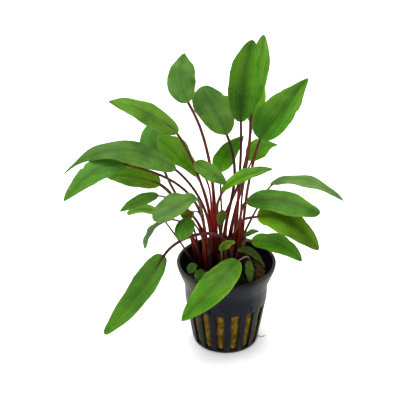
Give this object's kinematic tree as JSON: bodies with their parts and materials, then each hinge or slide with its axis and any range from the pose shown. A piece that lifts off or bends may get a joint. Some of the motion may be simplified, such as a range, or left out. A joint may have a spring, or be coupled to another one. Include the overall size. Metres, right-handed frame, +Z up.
{
  "type": "potted cryptocoryne",
  "caption": "Small aquarium plant with a rosette of lance-shaped leaves on long red stalks, rooted in rock wool in a tapered slotted pot that stands on a flat surface.",
  "frame": {"origin": "centre of the pot's flat underside", "axes": "+Z up along the pot's axis, +X to the right as the plant is seen from its front, +Y to its back"},
  "size_m": [0.1467, 0.0827, 0.1698],
  "materials": {
    "black_plastic": "moulded, low sheen",
    "rock_wool": "coarse matted fibre, damp",
    "rootstock": "rough, fibrous",
    "leaf_green": "smooth leaf skin, soft sheen",
    "stalk_red": "smooth, slightly glossy",
    "young_green": "smooth leaf skin, soft sheen",
    "old_olive": "wilted, dull"
  },
  "bodies": {
    "root": {"pot": "black_plastic", "rock_wool": "rock_wool", "crown_left": "rootstock", "crown_right": "rootstock", "blade_01": "leaf_green", "blade_02": "leaf_green", "blade_03": "leaf_green", "blade_04": "leaf_green", "blade_05": "leaf_green", "blade_06": "leaf_green", "blade_07": "leaf_green", "blade_08": "leaf_green", "blade_09": "leaf_green", "blade_10": "leaf_green", "blade_11": "leaf_green", "blade_12": "leaf_green", "blade_13": "leaf_green", "blade_14": "leaf_green", "blade_15": "leaf_green", "blade_16": "leaf_green", "blade_17": "leaf_green", "blade_18": "leaf_green", "blade_19": "leaf_green", "blade_20": "leaf_green", "stalk_01": "stalk_red", "stalk_02": "stalk_red", "stalk_03": "stalk_red", "stalk_04": "stalk_red", "stalk_05": "stalk_red", "stalk_06": "stalk_red", "stalk_07": "stalk_red", "stalk_08": "stalk_red", "stalk_09": "stalk_red", "stalk_10": "stalk_red", "stalk_11": "stalk_red", "stalk_12": "stalk_red", "stalk_13": "stalk_red", "stalk_14": "stalk_red", "stalk_15": "stalk_red", "stalk_16": "stalk_red", "stalk_17": "stalk_red", "stalk_18": "stalk_red", "stalk_19": "stalk_red", "stalk_20": "stalk_red", "young_leaf_01": "young_green", "young_leaf_02": "young_green", "young_leaf_03": "young_green", "young_leaf_04": "young_green", "young_leaf_05": "young_green", "young_leaf_06": "young_green", "young_leaf_07": "young_green", "young_leaf_08": "young_green", "young_leaf_09": "young_green", "young_leaf_10": "young_green", "young_leaf_11": "young_green", "young_leaf_12": "young_green", "old_leaf_01": "old_olive", "old_leaf_02": "old_olive", "old_leaf_03": "old_olive"}
  },
  "joints": []
}
